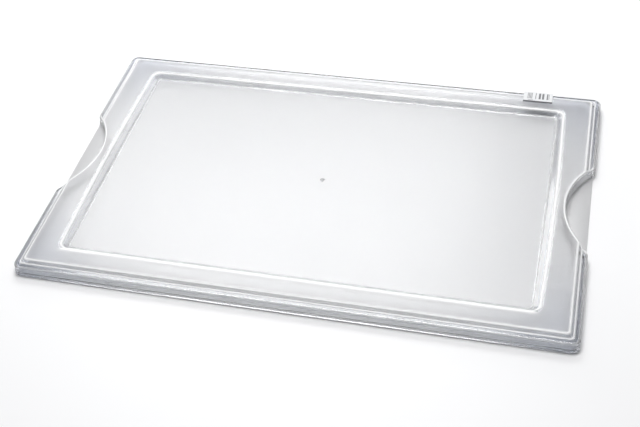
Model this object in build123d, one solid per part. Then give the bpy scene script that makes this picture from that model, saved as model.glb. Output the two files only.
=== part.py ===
from build123d import *
from math import atan2, degrees, tan
import os

# A one-piece clear lid for a full-size food box, with a paper label stuck on it. Millimetres.
# X runs along the long sides, Y towards the side with the label, and Z up. The skirt's foot is
# at Z = 0, with the origin at its middle.

# Lid
lid_length = 660.0          # outside of the skirt
lid_width = 457.0
lid_height = 17.5           # foot of the skirt to the top of the flange
corner_radius = 11.0
wall = 2.8

# Rim: a low shoulder all round, and a sloping riser from it up to the flange
shoulder_height = 13.5
shoulder_width = 8.0
shoulder_round = 3.0
riser_run = 4.5             # how far the riser leans inwards
riser_corner = 5.0

# Recess for the foot of a box stacked on top
end_flange = 46.5           # outside of the skirt to the lip of the recess, at the short ends
side_flange = 40.0          # the same, at the long sides
recess_depth = 7.0
recess_run = 8.0            # how far the recess's walls lean inwards
lip_corner = 10.0
lip_bow = 3.5               # how far the lip of each short end bows outwards at its middle
floor_corner = 6.0
floor_bow = 0.2             # the foot of those walls is all but straight

# Crescent hand grips, one in each short end
grip_length = 166.0
grip_depth = 31.0
grip_corner = 12.0          # small arcs where the crescent runs out into the skirt
ledge_thickness = 2.5
ledge_inset = 2.5           # outside of the skirt to the edge of the ledge

# Gate mark at the middle of the recess's floor: a shallow ring round a pip
gate_radius = 3.0
gate_depth = 0.6
gate_pip_radius = 1.1

# Label on the back flange
label_length = 38.0
label_width = 25.0
label_thickness = 0.2
label_from_end = 82.0       # end of the lid to the middle of the label
label_from_back = 4.0       # back of the lid to the back edge of the label
label_loose = 7.0           # the strip along the front edge that has come unstuck
label_curl = 16.0           # radius that this strip curls up to

cut_past = 1.0              # how far a cut runs past the face that it opens

floor_height = lid_height - recess_depth
flange_underside = lid_height - wall


def rounded_block(length, width, radius, bottom, top):
    outline = Plane.XY.offset(bottom) * RectangleRounded(length, width, radius)
    return extrude(outline, top - bottom)


def riser_block(inset, bottom, top):
    """The sloping block between the shoulder and the flange, inset from the riser's outside."""
    foot = 2 * (shoulder_width + inset)
    head = foot + 2 * riser_run
    foot_outline = RectangleRounded(lid_length - foot, lid_width - foot, riser_corner)
    head_outline = RectangleRounded(lid_length - head, lid_width - head, riser_corner)
    return loft(
        [Plane.XY.offset(bottom) * foot_outline, Plane.XY.offset(top) * head_outline], ruled=True)


def outside():
    """The lid as a full block: skirt, shoulder and riser."""
    skirt = rounded_block(lid_length, lid_width, corner_radius, 0, shoulder_height)
    skirt = fillet(skirt.edges().group_by(Axis.Z)[-1], shoulder_round)
    return skirt + riser_block(0, shoulder_height, lid_height)


def inside():
    """The same block drawn in by one wall, and open at the foot."""
    riser_slope = atan2(lid_height - shoulder_height, riser_run)
    shoulder_underside = shoulder_height - wall
    skirt = rounded_block(
        lid_length - 2 * wall, lid_width - 2 * wall, corner_radius - wall,
        -cut_past, shoulder_underside)
    return skirt + riser_block(wall * tan(riser_slope / 2), shoulder_underside, flange_underside)


def recess_outline(inset, bow, corner, height):
    """A rectangle inset from the recess's lip, with its short ends bowed outwards."""
    x = lid_length / 2 - end_flange - inset
    y = lid_width / 2 - side_flange - inset
    sides = [
        Line((-x, -y), (x, -y)),
        ThreePointArc((x, -y), (x + bow, 0), (x, y)),
        Line((x, y), (-x, y)),
        ThreePointArc((-x, y), (-x - bow, 0), (-x, -y)),
    ]
    outline = make_face(sides)
    return Plane.XY.offset(height) * fillet(outline.vertices(), corner)


def recess_block(growth, drop):
    """The room inside the recess, grown sideways by growth and lowered by drop."""
    lip = recess_outline(-growth, lip_bow, lip_corner, lid_height - drop)
    floor = recess_outline(recess_run - growth, floor_bow, floor_corner, floor_height - drop)
    return loft([floor, lip], ruled=True) + extrude(lip, drop + cut_past)


def upside_down(point):
    return Vector(point.X, -point.Y)


def grip_outline(growth):
    """Plan of the right-hand grip, grown into the lid by growth, and open past the skirt.

    A wide arc cuts into the flange, and a small arc at each end turns it out into the skirt.
    The two kinds of arc touch on the line between their centres.
    """
    rim = lid_length / 2
    both_radii = ((grip_length / 2) ** 2 + grip_depth ** 2) / (2 * grip_depth)
    wide_radius = both_radii - grip_corner
    wide_centre = Vector(rim - grip_depth + wide_radius, 0)
    crown = wide_centre - Vector(wide_radius + growth, 0)
    small_radius = grip_corner - growth
    small_centre = Vector(rim - grip_corner, grip_length / 2)
    touch = small_centre + (wide_centre - small_centre).normalized() * small_radius
    run_out = small_centre + Vector(small_radius, 0)
    halfway = ((touch + run_out) / 2 - small_centre).normalized()
    between = small_centre + halfway * small_radius
    past = Vector(rim + cut_past, grip_length / 2)
    edges = [
        Line(past, run_out),
        ThreePointArc(run_out, between, touch),
        ThreePointArc(touch, crown, upside_down(touch)),
        ThreePointArc(upside_down(touch), upside_down(between), upside_down(run_out)),
        Line(upside_down(run_out), upside_down(past)),
        Line(upside_down(past), past),
    ]
    return make_face(edges)


def at_both_ends(block):
    return block + mirror(block, Plane.YZ)


def grip_room():
    """What the grips take away: all above the ledge, and the strip outside the ledge's edge."""
    above_ledge = extrude(
        Plane.XY.offset(ledge_thickness) * grip_outline(0),
        lid_height - ledge_thickness + cut_past)
    edge = lid_length / 2 - ledge_inset
    past = lid_length / 2 + cut_past
    outside_ledge = Pos((edge + past) / 2, 0, 0) * Box(
        past - edge, grip_length, 2 * (ledge_thickness + cut_past))
    return at_both_ends(above_ledge + outside_ledge)


def grip_backing():
    """The material round each grip: one wall beyond its outline, from the foot up."""
    block = extrude(Plane.XY.offset(-cut_past) * grip_outline(wall), lid_height + 2 * cut_past)
    return at_both_ends(block)


def gate_mark():
    ring = Cylinder(gate_radius, 2 * gate_depth) - Cylinder(gate_pip_radius, 2 * gate_depth)
    return Pos(0, 0, floor_height) * ring


def lid_body():
    recess_slope = atan2(recess_depth, recess_run)
    recess_backing = recess_block(wall * tan(recess_slope / 2), wall)
    hollow = inside() - recess_backing - grip_backing()
    return outside() - recess_block(0, 0) - grip_room() - gate_mark() - hollow


def barcode_label():
    """Thin paper, flat where it is stuck down, with its front edge curling up."""
    back = lid_width / 2 - label_from_back
    bend = back - (label_width - label_loose)
    stuck = Line((back, lid_height), (bend, lid_height))
    turn = degrees(label_loose / label_curl)
    loose = CenterArc((bend, lid_height + label_curl), label_curl, -90, -turn)
    side = make_face(offset(stuck + loose, label_thickness, side=Side.RIGHT, closed=True))
    left = lid_length / 2 - label_from_end - label_length / 2
    return Pos(left, 0, 0) * extrude(Plane.YZ * side, label_length, dir=(1, 0, 0))


def write(shape, name):
    export_step(shape, f"parts/{name}.step")


os.makedirs("parts", exist_ok=True)
write(lid_body(), "lid_body")
write(barcode_label(), "barcode_label")
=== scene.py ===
import bpy
import math
import numpy as np
from mathutils import Matrix, Vector


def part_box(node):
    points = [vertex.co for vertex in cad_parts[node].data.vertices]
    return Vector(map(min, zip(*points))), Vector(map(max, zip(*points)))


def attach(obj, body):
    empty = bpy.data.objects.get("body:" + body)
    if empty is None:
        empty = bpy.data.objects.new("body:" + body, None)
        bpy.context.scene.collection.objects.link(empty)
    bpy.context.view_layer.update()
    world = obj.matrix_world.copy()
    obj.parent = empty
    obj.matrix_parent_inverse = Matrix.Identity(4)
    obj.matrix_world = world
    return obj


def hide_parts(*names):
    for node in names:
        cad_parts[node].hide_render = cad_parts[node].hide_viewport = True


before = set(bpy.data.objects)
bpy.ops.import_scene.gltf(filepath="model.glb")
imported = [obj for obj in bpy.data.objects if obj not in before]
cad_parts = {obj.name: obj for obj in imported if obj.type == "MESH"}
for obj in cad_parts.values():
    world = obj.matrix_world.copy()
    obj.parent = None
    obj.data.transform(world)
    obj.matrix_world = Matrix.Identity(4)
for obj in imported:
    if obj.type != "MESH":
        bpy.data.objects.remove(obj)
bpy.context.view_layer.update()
mm = 0.001
print("frame loaded:", ", ".join(sorted(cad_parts)))


def meshPiece(name, points, faces, material, attributes=None):
    # points in millimetres, faces as lists of rows of 3 or 4 point numbers
    mesh = bpy.data.meshes.new(name)
    mesh.from_pydata((points * mm).tolist(), [], [row for rows in faces for row in rows.tolist()])
    mesh.polygons.foreach_set("use_smooth", np.ones(len(mesh.polygons), dtype=bool))
    for key, values in (attributes or {}).items():
        layer = mesh.attributes.new(key, "FLOAT", "POINT")
        layer.data.foreach_set("value", values.astype(np.float32))
    mesh.validate()
    mesh.update()
    mesh.materials.append(material)
    piece = bpy.data.objects.new(name, mesh)
    bpy.context.scene.collection.objects.link(piece)
    return piece


class Value:
    # one socket; sums, products and comparisons of it add their own Math nodes
    def __init__(self, graph, socket):
        self.graph = graph
        self.socket = socket

    def math(self, operation, first, second):
        return self.graph.add("ShaderNodeMath", {"operation": operation}, {0: first, 1: second})

    def __add__(self, other):
        return self.math("ADD", self, other)

    def __sub__(self, other):
        return self.math("SUBTRACT", self, other)

    def __rsub__(self, other):
        return self.math("SUBTRACT", other, self)

    def __mul__(self, other):
        return self.math("MULTIPLY", self, other)

    def __gt__(self, other):
        return self.math("GREATER_THAN", self, other)

    def __lt__(self, other):
        return self.math("LESS_THAN", self, other)

    __radd__ = __add__
    __rmul__ = __mul__


class Graph:
    # a material's nodes round its Principled shader; a Mix node's sockets 6 and 7 are its colours
    def __init__(self, name):
        self.material = bpy.data.materials.new(name)
        self.material.use_nodes = True
        self.nodes = self.material.node_tree.nodes
        self.links = self.material.node_tree.links
        self.shader = self.nodes["Principled BSDF"]

    def add(self, kind, settings, sockets, output=0):
        node = self.nodes.new(kind)
        for key, value in settings.items():
            setattr(node, key, value)
        for key, value in sockets.items():
            self.feed(node.inputs[key], value)
        return Value(self, node.outputs[output])

    def feed(self, socket, value):
        if isinstance(value, Value):
            self.links.new(value.socket, socket)
        else:
            socket.default_value = value

    def finish(self, sockets):
        for key, value in sockets.items():
            self.feed(self.shader.inputs[key], value)
        return self.material


def softRamp(x, start, end, blend):
    # 0 before start and 1 after end, straight between: half the difference of the distances to
    # the two ends, each being the root of its square plus blend squared, which rounds the bends
    rise = np.sqrt((x - start) ** 2 + blend ** 2) - np.sqrt((x - end) ** 2 + blend ** 2)
    return 0.5 + 0.5 * rise / (end - start)


def smoothStep(x):
    # 0 below 0 and 1 above 1: three times the square less twice the cube between
    t = np.clip(x, 0.0, 1.0)
    return t * t * (3.0 - 2.0 * t)


# the lid is a closed surface of rings; all its sizes are in millimetres

lid = dict(
    wall=2.8,
    sideGap=0.02,          # the surface stays this far inside the CAD's sides
    corner=11.0,           # of the skirt, in plan
    shoulderHeight=13.5,
    shoulderWidth=8.0,
    skirtRound=3.0,        # outer edge of the shoulder
    riserRun=4.5,
    riserBlend=0.8,        # how softly the riser's foot and head bend
    riserCorner=5.0,
    underCorner=13.0,      # of the riser on the underside: the flange's corners are thick
    endFlange=46.5,
    sideFlange=40.0,
    recessDepth=7.0,
    recessRun=8.0,
    recessBlend=1.6,       # the same for the recess's lip and the foot of its wall
    lipCorner=10.0,
    lipBow=3.5,
    floorCorner=6.0,
    floorBow=0.2,
    gripLength=166.0,
    gripDepth=31.0,
    gripCorner=12.0,
    gripRound=2.0,         # top edge of a grip's wall
    underRound=0.9,        # edges of the underside
    gripSpread=0.12,       # rings beside a grip step away from it by this share of their inset
    ledgeThickness=2.5,
    ledgeInset=2.5,
    footBandHeight=4.6,    # the foot of the skirt stands out by footBandOut
    footBandOut=0.45,
    footRound=0.5,
    middleRound=14.0,      # radius of the ring where the recess's floor turns round
    gateRadius=3.0,
    gateDepth=0.6,
    gatePip=1.1,
    gripColumns=56,        # mesh columns in a quarter: half a grip, the rest of the short end,
    endColumns=24,
    cornerColumns=12,      # a corner and half a long side
    sideColumns=22,
    riserSteps=(-1.2, -0.7, -0.35, 0.0, 0.35, 0.7, 1.2),   # of the rings round each bend
    lipSteps=(-4.2, -3.4, -2.8, -2.1, -1.4, -0.8, -0.3, 0.3, 0.9, 1.6, 2.4),
    frostFade=0.6,         # the flat tops are frosted, which fades over this much height
    edgeLine=0.4,          # painted highlight, how white each bend is made: the shoulder's outer edge,
    footLine=0.85,         # the riser's foot
    headLine=0.95,         # and head,
    gripLine=0.8,          # the grips' top edge,
    lipLine=0.9,           # the recess's lip,
    frontLine=0.95,        # which is painted wider along the front,
    floorLine=0.35,        # and the foot of its wall
    ledgeHaze=0.32,        # the grips' ledges are cloudy all over
    lineReach=dict(foot=1.1, head=1.5, lip=1.6, front=3.2, floor=0.9, edge=1.1),   # half widths
    lineShift=dict(lip=0.5, front=2.0, floor=-0.4),        # of a line's middle from its bend
    cornerReach=95.0,      # painted shade darkens the flange towards its corners over this reach
)

plastic = dict(
    clearTint=(0.985, 0.988, 0.995, 1.0),
    paintedShadeTint=(0.78, 0.80, 0.85, 1.0),       # painted shade runs from the clear tint to this
    # painted shade: darker flange corners, and a dark line under the shoulder's outer edge
    paintedCornerShade=0.85,
    paintedEdgeShade=1.0,                          # painted shade in a dark line just under the shoulder's outer edge
    polishedRoughness=0.03,
    frostRoughness=0.26,                    # added where it is frosted, with a cloudy change
    cloudRoughness=0.04,
    cloudScale=14.0,                        # how many clouds, brush streaks and specks to a metre
    brushScale=(45.0, 700.0, 700.0),
    speckleScale=420.0,
    bumpStrength=0.05,
    haze=0.10,                              # white scatter of the frosted tops, with its grain
    hazeGrain=0.14,
    hazeAndHighlightColour=(0.985, 0.987, 0.99, 1.0),
    hazeAndHighlightRoughness=0.45,
    index=1.585,
    absorbColour=(0.60, 0.64, 0.68, 1.0),
    absorbDensity=6.0,                      # per metre
)

lidHigh = np.array(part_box("lid_body")[1]) / mm
lidHeight = lidHigh[2]
footX = lidHigh[0] - lid["sideGap"]           # half the length at the foot
footY = lidHigh[1] - lid["sideGap"]
rimX = footX - lid["footBandOut"]             # half the length above the foot band
rimY = footY - lid["footBandOut"]
floorHeight = lidHeight - lid["recessDepth"]
gripHalf = lid["gripLength"] / 2
gripDeep = lid["gripDepth"] - lid["footBandOut"]

bothRadii = (gripHalf ** 2 + gripDeep ** 2) / (2 * gripDeep)
wideRadius = bothRadii - lid["gripCorner"]
wideX = rimX - gripDeep + wideRadius          # centre of the wide arc, on y = 0
smallX = rimX - lid["gripCorner"]             # centre of the small arc, on y = gripHalf
touchAngle = math.asin(gripHalf / bothRadii)

gripColumns, endColumns = lid["gripColumns"], lid["endColumns"]


def gripLine(run):
    # half of a grip in plan, from its middle outwards by the length run: the wide arc, then the
    # small arc that turns out into the skirt; gives x, y and the normal that points into the lid
    wideLength = wideRadius * touchAngle
    a = np.minimum(run, wideLength) / wideRadius
    b = -touchAngle + np.maximum(run - wideLength, 0.0) / lid["gripCorner"]
    onWide = run <= wideLength
    x = np.where(onWide, wideX - wideRadius * np.cos(a), smallX + lid["gripCorner"] * np.cos(b))
    y = np.where(onWide, wideRadius * np.sin(a), gripHalf + lid["gripCorner"] * np.sin(b))
    normalX = np.where(onWide, -np.cos(a), -np.cos(b))
    normalY = np.where(onWide, np.sin(a), -np.sin(b))
    return x, y, normalX, normalY


def nearGrip(x, y):
    # distance of a point from the lid's edge at the short end, and the y of the nearest edge point
    across, along = x - wideX, y
    wide = np.hypot(across, along)
    dx, dy = x - smallX, y - gripHalf
    small = np.hypot(dx, dy)
    besideWide = gripHalf * dx + (wideX - smallX) * dy < 0.0
    distance = np.where(besideWide, wide - wideRadius, lid["gripCorner"] - small)
    nearest = np.where(besideWide, wideRadius * along / wide,
                       gripHalf + lid["gripCorner"] * dy / np.maximum(small, 1e-6))
    beyond = y >= gripHalf
    return np.where(beyond, rimX - x, distance), np.where(beyond, y, nearest)


def edgeRound(y, atSkirt, atGrip):
    # radius of the edge, which eases from the grip's to the skirt's over the grip's last quarter
    return atGrip + (atSkirt - atGrip) * smoothStep(4.0 * y / gripHalf - 3.0)


def roundDrop(distance, radius):
    # how far a quarter circle of this radius falls at a distance inside the edge
    inside = np.clip(radius - distance, 0.0, radius)
    return radius - np.sqrt(np.maximum(radius ** 2 - inside ** 2, 0.0))


def rimRing(skin, inset, corner, share=1.0, beyond=0.0):
    # one quarter of a ring: along the grip to where the ring's straight line leaves it, along
    # the short end, round the corner and along half the long side. The ring lies inset from the
    # rim, and from the grip's edge by the skin's base, a share of the edge's radius and beyond
    base, height = skin["base"], skin["height"]
    atSkirt, atGrip = skin["skirtRound"], skin["gripRound"]
    samples = 4001                              # fine steps along the grip, to measure it by
    run = np.linspace(0.0, (wideRadius + lid["gripCorner"]) * touchAngle, samples)
    x, y, normalX, normalY = gripLine(run)
    offset = base + edgeRound(y, atSkirt, atGrip) * share + beyond
    x, y = x + normalX * offset, y + normalY * offset
    kink = np.interp(rimX - inset, x, run)
    crowding = 1.4                              # columns stand closer towards the kink
    gripRun = kink * (1.0 - np.linspace(1.0, 0.0, gripColumns + 1) ** crowding)
    gripX, gripY = np.interp(gripRun, run, x), np.interp(gripRun, run, y)
    endTop = rimY - inset - corner
    endY = gripY[-1] + (endTop - gripY[-1]) * np.linspace(0.0, 1.0, endColumns + 1)[1:] ** 2
    shortX = np.concatenate([gripX, np.full(endColumns, rimX - inset)])
    shortY = np.concatenate([gripY, endY])
    distance, nearest = nearGrip(shortX, shortY)
    shortZ = height(rimX - shortX) - roundDrop(distance - base, edgeRound(nearest, atSkirt, atGrip))
    farX, farY = cornerAndSide(rimX - inset, rimY - inset, corner)
    farZ = height(inset) - roundDrop(inset - base, atSkirt) + 0.0 * farX
    return np.stack([np.concatenate([shortX, farX]), np.concatenate([shortY, farY]),
                     np.concatenate([shortZ, farZ])], axis=-1)


def cornerAndSide(halfX, halfY, corner):
    # a quarter circle at the corner, then half the long side
    angle = np.linspace(0.0, math.pi / 2, lid["cornerColumns"] + 1)[1:]
    sideX = (halfX - corner) * (1.0 - np.linspace(0.0, 1.0, lid["sideColumns"] + 1)[1:])
    x = np.concatenate([halfX - corner + corner * np.cos(angle), sideX])
    y = np.concatenate([halfY - corner + corner * np.sin(angle),
                        np.full(lid["sideColumns"], halfY)])
    return x, y


def recessRing(inset, height, shortShare, growth=0.0):
    # one quarter of a ring of the recess, inset from its lip: a rounded rectangle whose short
    # ends bow outwards by a parabola
    t = np.clip((inset + growth) / lid["recessRun"], 0.0, 1.0)
    corner = lid["lipCorner"] + (lid["floorCorner"] - lid["lipCorner"]) * t + growth
    bow = lid["lipBow"] + (lid["floorBow"] - lid["lipBow"]) * t
    halfX = footX - lid["endFlange"] - inset
    halfY = footY - lid["sideFlange"] - inset
    farX, farY = cornerAndSide(halfX, halfY, corner)
    y = np.concatenate([(halfY - corner) * shortShare, farY])
    x = np.concatenate([np.full(len(shortShare), halfX), farX])
    x = x * (1.0 + bow * (1.0 - (y / halfY) ** 2) / halfX)
    return np.stack([x, y, height + 0.0 * x], axis=-1)


def betweenRings(outer, inner, steps):
    # rings spaced evenly between two rings, without either
    part = np.linspace(0.0, 1.0, steps + 2)[1:-1, None, None]
    return list(outer + (inner - outer) * part)


def rimHeight(low, high, start, end):
    # height over the inset from the rim: low, then the riser as a soft ramp, then high
    def height(inset):
        return low + (high - low) * softRamp(inset, start, end, lid["riserBlend"])
    return height


def skinRings(skin):
    # the rings of one skin, top or underside, from its edge in to the middle, and how much white
    # painted highlight each takes along the rim and where it passes a grip
    rings, reaches, shifts = [], lid["lineReach"], lid["lineShift"]
    angles = np.linspace(0.0, math.pi / 2, 7)
    for angle in angles:
        share = 1.0 - math.cos(angle)
        inset = skin["base"] + skin["skirtRound"] * share
        rings.append(rimRing(skin, inset, skin["corner"](inset), share))
    first = skin["base"] + skin["skirtRound"]
    foot, head = skin["riser"]
    bends = np.array(lid["riserSteps"])
    insets = np.concatenate([
        np.linspace(first, foot + bends[0], 5)[1:-1], foot + bends,
        np.linspace(foot + bends[-1], head + bends[0], 4)[1:-1], head + bends,
        [head + bends[-1] + 1.0]])
    for inset in insets:
        beyond = lid["gripSpread"] * (inset - first)
        rings.append(rimRing(skin, inset, skin["corner"](inset), 1.0, beyond))
    rings[-1][:, 2] = skin["flange"]
    shortCount = gripColumns + endColumns + 1
    shortShare = rings[-1][:shortCount, 1] / rings[-1][shortCount - 1, 1]
    run, growth = lid["recessRun"], skin["growth"]
    bend = np.array(lid["lipSteps"])
    wall = np.concatenate([bend, [run / 2], (run - bend)[::-1]])
    fall = softRamp(wall, 0.0, run, lid["recessBlend"])
    drop = lid["recessDepth"] * (fall - fall[0]) / (fall[-1] - fall[0])
    recess = [recessRing(t - growth, skin["flange"] - fall, shortShare, growth)
              for t, fall in zip(wall, drop)]
    flangeSteps, floorSteps = 4, 6
    rings += betweenRings(rings[-1], recess[0], flangeSteps) + recess
    riserLines = (lid["headLine"] * lineAt(insets, head, reaches["head"])
                  + lid["footLine"] * lineAt(insets, foot, reaches["foot"]))
    recessLines = (lid["lipLine"] * lineAt(wall, shifts["lip"], reaches["lip"])
                   + lid["floorLine"] * lineAt(wall, run + shifts["floor"], reaches["floor"]))
    onRim = np.concatenate([lid["edgeLine"] * np.sin(2 * angles), riserLines])
    onGrip = np.concatenate([lid["gripLine"] * np.sin(angles), lid["gripLine"] * (insets < head)])
    onRecess = np.concatenate([np.zeros(flangeSteps), recessLines])
    floor = recess[-1]
    reach = np.hypot(floor[:, 0], floor[:, 1])[:, None]
    for radius, height in skin["middle"]:
        circle = floor.copy()
        circle[:, :2] *= radius / reach
        circle[:, 2] = height
        if radius == lid["middleRound"]:
            rings += betweenRings(rings[-1], circle, floorSteps)
        rings.append(circle)
    rest = np.zeros(len(rings) - len(onRim) - len(onRecess))
    return rings, np.concatenate([onRim, onRecess, rest]), np.concatenate([onGrip, onRecess, rest])


def lineAt(place, middle, reach):
    # a soft line: e to the minus square of the distance from its middle over its reach
    return np.exp(-((place - middle) / reach) ** 2)


def cornerFade(start, end, low, high):
    # corner radius over the inset, changing steadily from start to end between low and high
    return lambda inset: start + (end - start) * np.clip((inset - low) / (high - low), 0.0, 1.0)


def lidSkins():
    # what makes the top and the underside different; the wall keeps its thickness on a slope by
    # shifting the underside's bends by the wall times the tangent of half the slope
    wall, deep = lid["wall"], lid["recessDepth"]
    riserFoot = lid["shoulderWidth"] - lid["footBandOut"]
    riserHead = riserFoot + lid["riserRun"]
    rise = lidHeight - lid["shoulderHeight"]
    riserShift = wall * math.tan(math.atan2(rise, lid["riserRun"]) / 2)
    recessShift = wall * math.tan(math.atan2(deep, lid["recessRun"]) / 2)
    gate, pip, groove = lid["gateRadius"], lid["gatePip"], floorHeight - lid["gateDepth"]
    top = dict(
        base=0.0, skirtRound=lid["skirtRound"], gripRound=lid["gripRound"],
        riser=(riserFoot, riserHead),
        corner=cornerFade(lid["corner"] - lid["footBandOut"], lid["riserCorner"],
                          0.0, riserFoot - 2.0),
        height=rimHeight(lid["shoulderHeight"], lidHeight, riserFoot, riserHead),
        flange=lidHeight, growth=0.0,
        middle=[(lid["middleRound"], floorHeight), (gate + 0.9, floorHeight),
                (gate + 0.25, floorHeight), (gate, floorHeight - 0.12), (gate - 0.2, groove),
                (pip + 0.3, groove), (pip, floorHeight - 0.12), (pip - 0.3, floorHeight),
                (0.3, floorHeight)])
    under = dict(
        base=wall, skirtRound=lid["underRound"], gripRound=lid["underRound"],
        riser=(riserFoot + riserShift, riserHead + riserShift),
        corner=cornerFade(lid["corner"] - wall, lid["underCorner"], wall, riserFoot),
        height=rimHeight(lid["shoulderHeight"] - wall, lidHeight - wall,
                         riserFoot + riserShift, riserHead + riserShift),
        flange=lidHeight - wall, growth=recessShift,
        middle=[(radius, floorHeight - wall) for radius in (lid["middleRound"], gate, 0.3)])
    return skinRings(top), skinRings(under)


def footRings(topEdge, underEdge):
    # from the top's edge down the skirt, over the foot band or the grip's ledge, round the foot and
    # up the inner wall to the underside's edge. The ledge's edge is the greater of two x values,
    # their mean plus half the root of their difference squared plus a small square, which is soft
    ledge, rounding = lid["ledgeThickness"], lid["footRound"]
    short = gripColumns + endColumns + 1
    farX, farY = cornerAndSide(footX, footY, lid["corner"])
    outX = topEdge[:, 0] + lid["footBandOut"]
    edgeX = footX - lid["ledgeInset"]
    greater = (outX + edgeX + np.hypot(outX - edgeX, 0.2)) / 2
    outX = np.where(np.arange(len(outX)) <= gripColumns, greater, outX)
    band = np.stack([np.concatenate([outX[:short], farX]),
                     np.concatenate([topEdge[:short, 1], farY])], axis=-1)
    step = band - topEdge[:, :2]
    width = np.hypot(step[:, 0], step[:, 1])
    onLedge = smoothStep((width - 0.5) / 1.5)   # it is a ledge where it is wider than the foot band

    def ring(plan, onSkirt, inGrip):
        z = onSkirt + (inGrip - onSkirt) * onLedge
        return np.concatenate([plan, z[:, None]], axis=1)

    rings = []
    bandTop = lid["footBandHeight"]
    low = ring(topEdge[:, :2], bandTop + 0.5, ledge + 0.8)
    rings += betweenRings(topEdge, low, 4) + [low]
    # share of the way out on the skirt, distance in or out on a ledge, and the rise on each
    across = [(0.15, 0.24, 0.32, 0.24), (0.5, 0.8, 0.2, 0.0),
              (0.85, -0.4, 0.08, 0.0), (1.0, 0.0, -0.1, -0.4)]
    for share, into, skirtRise, ledgeRise in across:
        reach = into if 0.0 < into else width + into
        part = share + (np.clip(reach / width, 0.0, 1.0) - share) * onLedge
        plan = topEdge[:, :2] + step * part[:, None]
        rings.append(ring(plan, bandTop + skirtRise, ledge + ledgeRise))
    outward = len(rings)
    inward = underEdge[:, :2] - band
    inward /= np.hypot(inward[:, 0], inward[:, 1])[:, None]
    rings.append(ring(band, bandTop / 2, (ledge + rounding) / 2))
    for angle in np.radians([0.0, 30.0, 60.0, 90.0]):
        plan = band + inward * rounding * (1.0 - math.cos(angle))
        z = rounding * (1.0 - math.sin(angle))
        rings.append(ring(plan, z, z))
    innerFoot = underEdge[:, :2] - inward * 0.3
    flat = np.zeros(len(band))
    rings.append(np.concatenate([(plan + innerFoot) / 2, flat[:, None]], axis=1))
    rings.append(np.concatenate([innerFoot, flat[:, None]], axis=1))
    rings.append(np.concatenate([underEdge[:, :2] - inward * 0.09, flat[:, None] + 0.09], axis=1))
    wallFoot = np.concatenate([underEdge[:, :2], flat[:, None] + 0.3], axis=1)
    for part in (0.0, 0.3, 0.6, 0.85):
        rings.append(wallFoot + (underEdge - wallFoot) * part)
    return rings, onLedge, outward


def wholeRing(quarter):
    # the quarter, its mirror across x, the quarter turned half round, and its mirror across y
    forward, back = quarter[:-1], quarter[:0:-1]
    return np.concatenate([forward, back * (-1, 1, 1), forward * (-1, -1, 1), back * (1, -1, 1)])


def wholeRows(quarter):
    # the same for values, one row per ring
    forward, back = quarter[:, :-1], quarter[:, :0:-1]
    return np.concatenate([forward, back, forward, back], axis=1)


def lidSurface():
    # the top's rings from the middle out, the foot's rings, then the underside's rings back in,
    # each joined to the next by a band of quads, with a fan to one point at either end; frost says
    # how matt the plastic is, white its painted highlights and haze, paintedShade its painted shade
    (top, topLines, topGripLines), (under, _, _) = lidSkins()
    foot, onLedge, outward = footRings(top[0], under[0])
    reaches = lid["lineReach"]
    quarters = top[::-1] + foot + under
    rings = np.stack([wholeRing(quarter) for quarter in quarters])
    rows, columns = rings.shape[:2]
    number = np.arange(rows * columns).reshape(rows, columns)
    after = np.roll(number, -1, axis=1)
    quads = np.stack([number[:-1], number[1:], after[1:], after[:-1]], axis=-1).reshape(-1, 4)
    topPole, underPole = rows * columns, rows * columns + 1
    topFan = np.stack([np.full(columns, topPole), number[0], after[0]], axis=-1)
    underFan = np.stack([np.full(columns, underPole), after[-1], number[-1]], axis=-1)
    poles = np.array([[0.0, 0.0, rings[0, 0, 2]], [0.0, 0.0, rings[-1, 0, 2]]])
    points = np.concatenate([rings.reshape(-1, 3), poles])
    heights = rings[:len(top), :, 2]
    awayFromFlat = np.minimum(np.abs(heights - lidHeight), np.abs(heights - floorHeight))
    frost = np.zeros((rows, columns))
    frost[:len(top)] = 1.0 - smoothStep(awayFromFlat / lid["frostFade"])
    ledgeRows = slice(len(top), len(top) + outward)
    ledge = wholeRows(onLedge[None, :])
    frost[ledgeRows] = ledge
    fadeColumns = 8                             # the grip's white runs out over its last columns
    inGrip = smoothStep((gripColumns - np.arange(len(onLedge))) / fadeColumns)
    lines = topLines[:, None] + (topGripLines - topLines)[:, None] * inGrip
    white = np.zeros((rows, columns))
    white[:len(top)] = wholeRows(lines[::-1])
    white[ledgeRows] = ledge * lid["ledgeHaze"]
    # painted highlight: a white line along the ledge's outer edge
    white[len(top) + outward - 1] = ledge * lid["gripLine"]
    lengthways, sideways, up = np.abs(points[:, 0]), np.abs(points[:, 1]), points[:, 2]
    lipX, lipY = footX - lid["endFlange"], footY - lid["sideFlange"]
    fromLip = np.maximum(lengthways - lipX, sideways - lipY)
    onFlange = 1.0 - smoothStep(-fromLip / lid["recessRun"])
    # painted highlight along the front lip, wider than on the other bends
    paintedFrontHighlight = lineAt(-points[:, 1] - lipY, lid["lineShift"]["front"], reaches["front"])
    paintedFrontHighlight *= smoothStep((lipX - lengthways) / lid["recessRun"])
    white = np.maximum(np.concatenate([white.ravel(), [0.0, 0.0]]),
                       lid["frontLine"] * paintedFrontHighlight * (up > floorHeight))
    # painted shade: darker towards the flange's corners and in a line under the shoulder's edge
    fromCorner = np.hypot(footX - lengthways, footY - sideways)
    nearCorner = lineAt(fromCorner, 0.0, lid["cornerReach"])
    underEdge = lineAt(up, lid["shoulderHeight"] - lid["skirtRound"], reaches["edge"])
    paintedShade = onFlange * (plastic["paintedCornerShade"] * nearCorner + plastic["paintedEdgeShade"] * underEdge)
    values = {"frost": np.concatenate([frost.ravel(), [1.0, 0.0]]),
              "white": white, "paintedShade": np.clip(paintedShade, 0.0, 1.0)}
    return points, [quads, topFan, underFan], values


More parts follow.
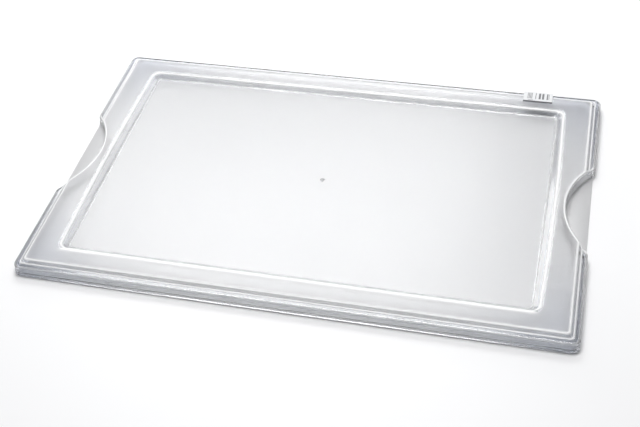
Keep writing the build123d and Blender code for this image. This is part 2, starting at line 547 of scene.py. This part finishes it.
def clearPlastic():
    # clear plastic mixed with a white shader, by the painted highlight lines on the bends and the
    # haze on flat tops
    g = Graph("clearPlastic")
    place = g.add("ShaderNodeTexCoord", {}, {}, output=3)
    frost, white, paintedShade = [g.add("ShaderNodeAttribute", {"attribute_name": name}, {}, output=2)
                           for name in ("frost", "white", "paintedShade")]
    streaks = g.add("ShaderNodeMapping", {}, {"Vector": place, "Scale": plastic["brushScale"]})
    brushed = g.add("ShaderNodeTexNoise", {}, {"Vector": streaks, "Scale": 1.0, "Detail": 3.0})
    cloud = g.add("ShaderNodeTexNoise", {},
                  {"Vector": place, "Scale": plastic["cloudScale"], "Detail": 4.0})
    speckle = g.add("ShaderNodeTexNoise", {},
                    {"Vector": place, "Scale": plastic["speckleScale"], "Detail": 2.0})
    grain = brushed * 0.5 + speckle * 0.5
    bump = g.add("ShaderNodeBump", {},
                 {"Strength": frost * plastic["bumpStrength"], "Distance": 0.0002, "Height": grain})
    roughness = (plastic["polishedRoughness"]
                 + frost * (plastic["frostRoughness"] + plastic["cloudRoughness"] * (cloud - 0.5)))
    tint = g.add("ShaderNodeMix", {"data_type": "RGBA"},
                 {"Factor": paintedShade, 6: plastic["clearTint"], 7: plastic["paintedShadeTint"]}, output=2)
    # the white mix takes the painted highlights and the ledges' haze, plus the frosted tops' haze
    haze = white + frost * (plastic["haze"] + plastic["hazeGrain"] * (grain - 0.5))
    hazeAndHighlight = g.add("ShaderNodeBsdfPrincipled", {},
                    {"Base Color": plastic["hazeAndHighlightColour"], "Roughness": plastic["hazeAndHighlightRoughness"],
                     "IOR": plastic["index"]})
    absorb = g.add("ShaderNodeVolumeAbsorption", {},
                   {"Color": plastic["absorbColour"], "Density": plastic["absorbDensity"]})
    output = g.nodes["Material Output"]
    g.links.new(absorb.socket, output.inputs["Volume"])
    clear = Value(g, g.shader.outputs[0])
    mixed = g.add("ShaderNodeMixShader", {}, {0: haze, 1: clear, 2: hazeAndHighlight})
    g.links.new(mixed.socket, output.inputs["Surface"])
    return g.finish({"Base Color": tint, "Transmission Weight": 1.0, "IOR": plastic["index"],
                     "Roughness": roughness, "Normal": bump})


points, faces, values = lidSurface()
lidPiece = meshPiece("lid", points, faces, clearPlastic(), values)
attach(lidPiece, "root")
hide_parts("lid_body")
print("lid:", len(lidPiece.data.polygons), "faces")


# the label is thin paper, stuck flat at the back, its front edge curling up off the flange

label = dict(
    width=25.0,            # from its back edge to its front edge, along the paper
    thickness=0.2,
    faceGap=0.01,          # both faces stay this far inside the CAD's
    loose=7.0,             # strip along the front edge that has come unstuck
    curl=16.0,             # radius that the strip curls up to
    relax=0.10,            # the middle of the strip lifts this much less than its corners
    alongSteps=48,
    acrossSteps=32,
    barCells=44,           # a bar or a gap is one or more cells wide
    barEnds=(0.14, 0.88),  # share of the length that the bars take
    barSpan=(0.08, 0.60),  # share of the width, from the back edge
    dashCells=26,
    dashEnds=(0.16, 0.40),
    dashSpan=(0.68, 0.75),
    paintedShadowEdge=0.78,         # painted shadow: the front edge is darkened from this share of the width, for the shade under its curl
    paperColour=(0.77, 0.78, 0.79, 1.0),
    inkAndShadowColour=(0.05, 0.05, 0.06, 1.0),
    barInk=0.8,            # how much of the ink colour bars and dashes take, and the painted shadow edge
    dashInk=0.5,
    paintedShadowDarkness=0.95,
    fibreScale=1500.0,     # how many of the paper's fibres to a metre
)


def labelSurface():
    # flat, then along a circle: past the bend the paper turns by its length over the curl radius;
    # along and across say how far each point lies from the left end and from the back edge
    low, high = [np.array(corner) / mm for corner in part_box("barcode_label")]
    width = label["width"]
    along, across = np.meshgrid(np.linspace(0.0, 1.0, label["alongSteps"] + 1),
                                np.linspace(0.0, 1.0, label["acrossSteps"] + 1), indexing="ij")
    run = across * width
    past = np.maximum(run - (width - label["loose"]), 0.0)
    share = 1.0 - label["relax"] * (1.0 - (2.0 * along - 1.0) ** 2)
    radius = label["curl"] / share
    turn = past / radius
    x = low[0] + (high[0] - low[0]) * along
    y = high[1] - (run - past) - radius * np.sin(turn)
    z = low[2] + radius * (1.0 - np.cos(turn)) + label["faceGap"]
    thick = label["thickness"] - 2.0 * label["faceGap"]
    under = np.stack([x, y, z], axis=-1)
    upper = np.stack([x, y + thick * np.sin(turn), z + thick * np.cos(turn)], axis=-1)
    rows, columns = x.shape
    number = np.arange(rows * columns).reshape(rows, columns)
    corners = [number[:-1, :-1], number[:-1, 1:], number[1:, 1:], number[1:, :-1]]
    topQuads = np.stack(corners, axis=-1).reshape(-1, 4)
    rim = np.concatenate([number[:-1, 0], number[-1, :-1], number[:0:-1, -1], number[0, :0:-1]])
    nextOnRim = np.roll(rim, -1)
    shift = rows * columns
    sides = np.stack([rim, nextOnRim, nextOnRim + shift, rim + shift], axis=-1)
    points = np.concatenate([upper.reshape(-1, 3), under.reshape(-1, 3)])
    printed = np.concatenate([np.ones(shift), np.zeros(shift)])
    values = {"along": np.tile(along.ravel(), 2), "across": np.tile(across.ravel(), 2),
              "printed": printed}
    return points, [topQuads, topQuads[:, ::-1] + shift, sides], values


def labelPaper():
    # white paper with bars and dashes by chance, and a painted shadow along its front edge
    g = Graph("labelPaper")
    place = g.add("ShaderNodeTexCoord", {}, {}, output=3)
    along = g.add("ShaderNodeAttribute", {"attribute_name": "along"}, {}, output=2)
    across = g.add("ShaderNodeAttribute", {"attribute_name": "across"}, {}, output=2)
    printed = g.add("ShaderNodeAttribute", {"attribute_name": "printed"}, {}, output=2)
    fibres = g.add("ShaderNodeTexNoise", {},
                   {"Vector": place, "Scale": label["fibreScale"], "Detail": 3.0})

    def between(value, ends):
        return (value > ends[0]) * (value < ends[1])

    def cells(count, seed):
        # every cell along the label gets its own chance value
        cell = g.add("ShaderNodeMath", {"operation": "FLOOR"}, {0: along * count})
        return g.add("ShaderNodeTexWhiteNoise", {"noise_dimensions": "1D"}, {"W": cell + seed})

    bars = (cells(label["barCells"], 7.0) > 0.5) * between(along, label["barEnds"])
    dashes = ((cells(label["dashCells"], 3.0) > 0.35) * between(along, label["dashEnds"])
              * between(across, label["dashSpan"]))
    # printed bars and dashes, plus painted shadow along the front edge
    inkAndPaintedShadow = (bars * between(across, label["barSpan"]) * label["barInk"] + dashes * label["dashInk"]
           + (across > label["paintedShadowEdge"]) * label["paintedShadowDarkness"]) * (printed > 0.5)
    colour = g.add("ShaderNodeMix", {"data_type": "RGBA"},
                   {"Factor": inkAndPaintedShadow, 6: label["paperColour"], 7: label["inkAndShadowColour"]}, output=2)
    bump = g.add("ShaderNodeBump", {}, {"Strength": 0.3, "Distance": 0.00005, "Height": fibres})
    return g.finish({"Base Color": colour, "Roughness": 0.55 + 0.2 * fibres, "Normal": bump})


points, faces, values = labelSurface()
labelPiece = meshPiece("label", points, faces, labelPaper(), values)
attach(labelPiece, "root")
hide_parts("barcode_label")
print("label:", len(labelPiece.data.polygons), "faces")


stage = dict(              # all in metres
    floorHalf=6.0,
    floorGap=0.0003,       # a hair below the foot, as moulded plastic never touches all over
    floorColour=(0.93, 0.93, 0.935, 1.0),
    floorRoughness=0.35,
    roomColour=(0.96, 0.97, 1.0, 1.0),
    roomStrength=0.2,
)


def stageFloor():
    # a flat square under the lid
    g = Graph("paleFloor")
    material = g.finish({"Base Color": stage["floorColour"], "Roughness": stage["floorRoughness"]})
    half, low = stage["floorHalf"], -stage["floorGap"]
    mesh = bpy.data.meshes.new("floor")
    corners = [(-half, -half, low), (half, -half, low), (half, half, low), (-half, half, low)]
    mesh.from_pydata(corners, [], [(0, 1, 2, 3)])
    mesh.materials.append(material)
    floor = bpy.data.objects.new("floor", mesh)
    bpy.context.scene.collection.objects.link(floor)


def areaLight(name, place, size, brightness, target=(0.0, 0.0, 0.0)):
    # the energy is the brightness times pi times the area
    light = bpy.data.lights.new(name, "AREA")
    light.shape = "RECTANGLE"
    light.size, light.size_y = size
    light.energy = brightness * math.pi * size[0] * size[1]
    lamp = bpy.data.objects.new(name, light)
    lamp.location = place
    lamp.rotation_euler = (Vector(target) - Vector(place)).to_track_quat("-Z", "Y").to_euler()
    bpy.context.scene.collection.objects.link(lamp)


stageFloor()
lights = dict(             # places and sizes in metres, brightness as radiance
    overheadSoftbox=dict(place=(-0.2, 0.35, 2.3), size=(1.5, 0.8), brightness=11.2),
    sheenSoftbox=dict(place=(-0.64, 2.1, 2.12), size=(1.64, 0.95), brightness=4.8),
    rightSoftbox=dict(place=(0.95, 2.0, 1.35), size=(0.6, 0.8), brightness=2.4),
    leftStrip=dict(place=(-1.5, 2.0, 0.6), size=(0.65, 1.1), brightness=2.8),
    backWall=dict(place=(0.0, 3.4, 0.85), size=(4.5, 1.5), brightness=0.35, target=(0.0, 0.0, 0.8)),
)
for name, light in lights.items():
    areaLight(name, **light)

world = bpy.data.worlds.new("studio")
world.use_nodes = True
background = world.node_tree.nodes["Background"]
background.inputs["Color"].default_value = stage["roomColour"]
background.inputs["Strength"].default_value = stage["roomStrength"]
bpy.context.scene.world = world
bpy.context.scene.view_settings.view_transform = "Standard"

lens = dict(               # place in metres, turns in degrees, focal and sensor in millimetres
    place=(0.28139, -1.18771, 1.00228),
    azimuth=18.23,
    elevation=40.49,
    roll=-5.04,
    focal=69.95,
    sensor=36.0,
    shift=(0.1209, 0.0029),
)
cameraData = bpy.data.cameras.new("camera")
cameraData.lens = lens["focal"]
cameraData.sensor_width = lens["sensor"]
cameraData.shift_x, cameraData.shift_y = lens["shift"]
cameraData.clip_start = 0.01
camera = bpy.data.objects.new("camera", cameraData)
azimuth, elevation = math.radians(lens["azimuth"]), math.radians(lens["elevation"])
turn = (Matrix.Rotation(azimuth, 4, "Z") @ Matrix.Rotation(math.pi / 2 - elevation, 4, "X")
        @ Matrix.Rotation(math.radians(lens["roll"]), 4, "Z"))
camera.matrix_world = Matrix.Translation(lens["place"]) @ turn
bpy.context.scene.collection.objects.link(camera)
bpy.context.scene.camera = camera
print("stage: floor,", len(lights), "lights and camera")
